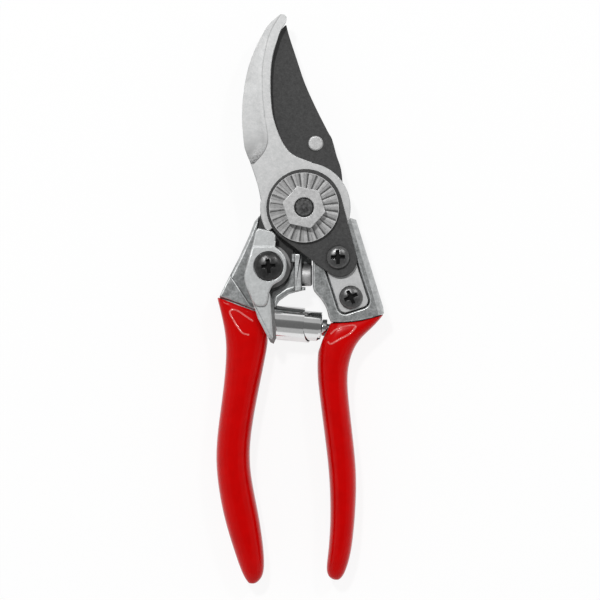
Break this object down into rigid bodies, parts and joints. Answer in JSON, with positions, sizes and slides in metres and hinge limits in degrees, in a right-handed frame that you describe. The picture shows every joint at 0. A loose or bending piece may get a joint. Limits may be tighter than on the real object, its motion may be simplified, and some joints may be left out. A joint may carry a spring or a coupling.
{
  "type": "bypass pruner",
  "caption": "Hand pruner whose curved cutting blade slides past a plain hook, with dipped grips, a volute spring, a thumb catch and an adjustable pivot.",
  "frame": {"origin": "on the pivot axis, at the flat back of the pivot bolt's head, on which the pruner lies", "axes": "+Z along the pivot axis, out of the nut; +Y towards the tip of the jaws; +X towards the handle that carries the hook"},
  "size_m": [0.0625, 0.2106, 0.0243],
  "materials": {
    "cast_handle": "tumbled forging",
    "dipped_grip": "dipped red vinyl, semi-gloss",
    "plain_steel": "satin",
    "coated_steel": "dark non-stick coating, fine speckle",
    "bright_hardware": "tumbled and plated",
    "bolt_steel": "turned",
    "black_screw": "blackened",
    "cast_latch": "tumbled casting",
    "spring_chrome": "bright plated",
    "bumper_steel": "bright plated",
    "bush_brass": "plain"
  },
  "bodies": {
    "hook_side": {"right_handle": "cast_handle", "right_grip": "dipped_grip", "hook_blade": "plain_steel", "lock_plate": "coated_steel", "serrated_washer": "bright_hardware", "pivot_nut": "bright_hardware", "pivot_bolt": "bolt_steel", "plate_screw": "black_screw", "tang_screw": "black_screw", "right_spring_stud": "spring_chrome", "thrust_washer": "bolt_steel"},
    "blade_side": {"left_handle": "cast_handle", "left_grip": "dipped_grip", "cutting_blade": "coated_steel", "blade_rivet": "bright_hardware", "pivot_bush": "bush_brass", "stop_bumper": "bumper_steel", "latch_screw": "black_screw", "latch_washer": "bolt_steel", "left_spring_stud": "spring_chrome", "volute_spring": "spring_chrome"},
    "latch": {"latch_lever": "cast_latch"}
  },
  "joints": [
    {"name": "handle_open", "type": "hinge", "parent": "hook_side", "child": "blade_side", "pos_m": [0, 0, 0], "axis": [0, 0, -1], "range_deg": [0, 36], "deforming": ["volute_spring"]},
    {"name": "latch_turn", "type": "hinge", "parent": "blade_side", "child": "latch", "pos_m": [-0.0131, -0.0216, 0.017], "axis": [0, 0, 1], "range_deg": [0, 12]}
  ]
}
